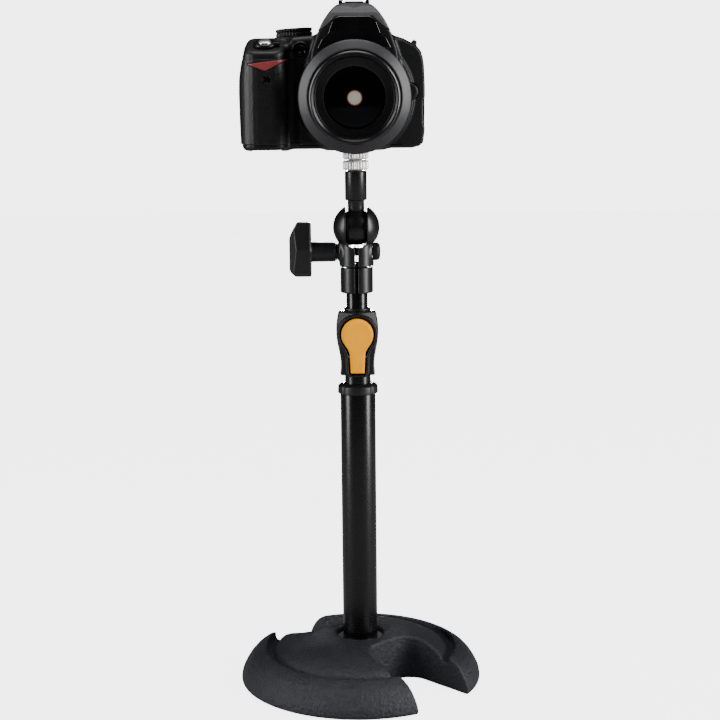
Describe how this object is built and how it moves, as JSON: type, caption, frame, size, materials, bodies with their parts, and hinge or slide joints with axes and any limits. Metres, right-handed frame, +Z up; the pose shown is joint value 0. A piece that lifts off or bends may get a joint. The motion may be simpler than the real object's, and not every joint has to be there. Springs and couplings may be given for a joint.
{
  "type": "camera on weighted desk stand",
  "caption": "Single-lens reflex camera on a short weighted desk stand with a trigger-released sliding rod and a ball clamp with a T-shaped knob.",
  "frame": {"origin": "centre of the base on the surface it stands on", "axes": "+Z up the pole, -Y the way the lens points, +X towards the side of the camera away from its grip"},
  "size_m": [0.174, 0.1995, 0.487],
  "materials": {
    "cast_iron_black": "textured powder coat, satin black",
    "rubber_black": "matt",
    "zinc": "dull zinc",
    "tube_black": "satin black powder coat",
    "plastic_black": "matt moulded",
    "clamp_black": "satin moulded",
    "amber": "satin amber yellow",
    "steel_dark": "blackened steel",
    "nickel": "nickel plated, knurled",
    "camera_black": "fine matt grain",
    "grip_rubber": "leather-grain rubber",
    "accent_red": "semi-gloss",
    "window_black": "glossy",
    "flash_grey": "fine matt grain",
    "shoe_metal": "dark satin metal",
    "silver": "satin silver",
    "mount_steel": "machined ring",
    "screen": "dark cover glass",
    "mirror": "front-silvered",
    "sensor": "cover glass over the sensor",
    "prism": "polished glass",
    "lens_black": "black anodised",
    "ring_rubber": "ribbed rubber sleeve",
    "lens_glass": "dark coated glass"
  },
  "bodies": {
    "stand": {"base_casting": "cast_iron_black", "base_pad": "rubber_black", "pole_bolt": "zinc", "pole_washer": "zinc", "pole_tube": "tube_black", "pole_plug": "zinc", "pole_collar": "plastic_black", "clutch_neck": "tube_black", "clutch_housing": "plastic_black", "clutch_bushing": "plastic_black", "trigger_pin": "zinc"},
    "trigger": {"clutch_trigger": "amber"},
    "plate": {"lock_plate": "zinc"},
    "rod": {"lift_rod": "tube_black", "rod_bushing": "plastic_black"},
    "clamp": {"clamp_shell_left": "clamp_black", "clamp_shell_right": "clamp_black", "clamp_nut": "plastic_black"},
    "knob": {"clamp_screw": "steel_dark", "clamp_knob": "plastic_black"},
    "ball": {"ball_stud": "steel_dark"},
    "ring": {"lock_ring": "nickel"},
    "adapter": {"screw_adapter": "nickel"},
    "camera": {"front_cover": "camera_black", "rear_cover": "camera_black", "top_cover": "camera_black", "bottom_cover": "camera_black", "tripod_socket": "zinc", "grip_skin": "grip_rubber", "grip_accent": "accent_red", "front_windows": "window_black", "hood_badge": "window_black", "hot_shoe": "shoe_metal", "strap_lugs": "zinc", "body_mount": "mount_steel", "monitor_window": "screen", "eyecup": "rubber_black", "battery": "camera_black", "mirror_box": "camera_black", "image_sensor": "sensor", "view_prism": "prism", "lens_barrel": "lens_black"},
    "flash": {"flash_head": "flash_grey"},
    "shutter": {"shutter_button": "silver"},
    "power": {"power_switch": "camera_black"},
    "mode": {"mode_dial": "camera_black"},
    "command": {"command_dial": "camera_black"},
    "release": {"lens_release": "camera_black"},
    "port_door": {"port_cover": "rubber_black"},
    "play_key": {"button_play": "camera_black"},
    "menu_key": {"button_menu": "camera_black"},
    "zoom_key": {"button_zoom": "camera_black"},
    "selector": {"multi_selector": "camera_black"},
    "ok_key": {"ok_button": "camera_black"},
    "battery_hatch": {"battery_door": "camera_black"},
    "mirror": {"reflex_mirror": "mirror"},
    "zoom": {"zoom_ring": "ring_rubber"},
    "inner_lens": {"inner_barrel": "lens_black"},
    "focus": {"focus_ring": "lens_black", "front_element": "lens_glass"}
  },
  "joints": [
    {"name": "trigger_press", "type": "hinge", "parent": "stand", "child": "trigger", "pos_m": [0, -0.0122, 0.241], "axis": [-1, 0, 0], "range_deg": [0, 4], "stiffness_Nm_per_rad": 2, "springref_deg": -2.86},
    {"name": "plate_tilt", "type": "hinge", "parent": "stand", "child": "plate", "pos_m": [0, -0.0097, 0.2487], "axis": [-1, 0, 0], "range_deg": [0, 8]},
    {"name": "rod_lift", "type": "slide", "parent": "stand", "child": "rod", "axis": [0, 0, 1], "range_m": [0, 0.09]},
    {"name": "clamp_turn", "type": "hinge", "parent": "rod", "child": "clamp", "pos_m": [0, 0, 0.292], "axis": [0, 0, 1], "continuous": true},
    {"name": "knob_turn", "type": "hinge", "parent": "clamp", "child": "knob", "pos_m": [-0.03, 0, 0.3138], "axis": [1, 0, 0], "continuous": true},
    {"name": "ball_tilt", "type": "hinge", "parent": "clamp", "child": "ball", "pos_m": [0, 0, 0.331], "axis": [1, 0, 0], "range_deg": [-90, 90]},
    {"name": "ring_turn", "type": "hinge", "parent": "ball", "child": "ring", "pos_m": [0, 0, 0.3744], "axis": [0, 0, 1], "continuous": true},
    {"name": "adapter_turn", "type": "hinge", "parent": "ball", "child": "adapter", "pos_m": [0, 0, 0.382], "axis": [0, 0, 1], "continuous": true},
    {"name": "camera_turn", "type": "hinge", "parent": "adapter", "child": "camera", "pos_m": [0, 0, 0.3863], "axis": [0, 0, 1], "continuous": true},
    {"name": "flash_lift", "type": "hinge", "parent": "camera", "child": "flash", "pos_m": [0, -0.004, 0.4843], "axis": [-1, 0, 0], "range_deg": [0, 60]},
    {"name": "shutter_press", "type": "slide", "parent": "camera", "child": "shutter", "axis": [0, 0.342, -0.9397], "range_m": [0, 0.0012], "stiffness_N_per_m": 800, "springref_m": -0.0005},
    {"name": "power_turn", "type": "hinge", "parent": "camera", "child": "power", "pos_m": [-0.0605, -0.02, 0.4563], "axis": [0, -0.342, 0.9397], "range_deg": [0, 30]},
    {"name": "mode_turn", "type": "hinge", "parent": "camera", "child": "mode", "pos_m": [-0.0414, 0.004, 0.4627], "axis": [-0.061, 0, 0.9981], "continuous": true},
    {"name": "command_turn", "type": "hinge", "parent": "camera", "child": "command", "pos_m": [-0.06, 0.0175, 0.4483], "axis": [0, 0, 1], "continuous": true},
    {"name": "release_press", "type": "slide", "parent": "camera", "child": "release", "axis": [0, 1, 0], "range_m": [0, 0.002], "stiffness_N_per_m": 900, "springref_m": -0.0005},
    {"name": "port_open", "type": "hinge", "parent": "camera", "child": "port_door", "pos_m": [0.0486, 0.015, 0.4163], "axis": [0, 0, 1], "range_deg": [0, 90]},
    {"name": "play_press", "type": "slide", "parent": "camera", "child": "play_key", "axis": [0, -1, 0], "range_m": [0, 0.0006], "stiffness_N_per_m": 800, "springref_m": -0.0004},
    {"name": "menu_press", "type": "slide", "parent": "camera", "child": "menu_key", "axis": [0, -1, 0], "range_m": [0, 0.0006], "stiffness_N_per_m": 800, "springref_m": -0.0004},
    {"name": "zoom_key_press", "type": "slide", "parent": "camera", "child": "zoom_key", "axis": [0, -1, 0], "range_m": [0, 0.0006], "stiffness_N_per_m": 800, "springref_m": -0.0004},
    {"name": "selector_rock", "type": "hinge", "parent": "camera", "child": "selector", "pos_m": [-0.052, 0.024, 0.4263], "axis": [1, 0, 0], "range_deg": [-3, 3], "stiffness_Nm_per_rad": 0.3},
    {"name": "ok_press", "type": "slide", "parent": "camera", "child": "ok_key", "axis": [0, -1, 0], "range_m": [0, 0.0006], "stiffness_N_per_m": 800, "springref_m": -0.0004},
    {"name": "hatch_open", "type": "hinge", "parent": "camera", "child": "battery_hatch", "pos_m": [-0.06, 0.001, 0.3864], "axis": [1, 0, 0], "range_deg": [0, 90]},
    {"name": "mirror_swing", "type": "hinge", "parent": "camera", "child": "mirror", "pos_m": [0, 0.008, 0.4348], "axis": [-1, 0, 0], "range_deg": [0, 45], "stiffness_Nm_per_rad": 0.02, "springref_deg": -11.46},
    {"name": "zoom_turn", "type": "hinge", "parent": "camera", "child": "zoom", "pos_m": [0, -0.066, 0.4223], "axis": [0, -1, 0], "range_deg": [0, 70]},
    {"name": "barrel_slide", "type": "slide", "parent": "camera", "child": "inner_lens", "axis": [0, -1, 0], "range_m": [0, 0.02]},
    {"name": "focus_turn", "type": "hinge", "parent": "inner_lens", "child": "focus", "pos_m": [0, -0.108, 0.4223], "axis": [0, -1, 0], "range_deg": [0, 90]}
  ],
  "couplings": [
    {"joint": "plate_tilt", "follows": "trigger_press", "ratio": 2},
    {"joint": "barrel_slide", "follows": "zoom_turn", "m_per_rad": 0.016288}
  ]
}
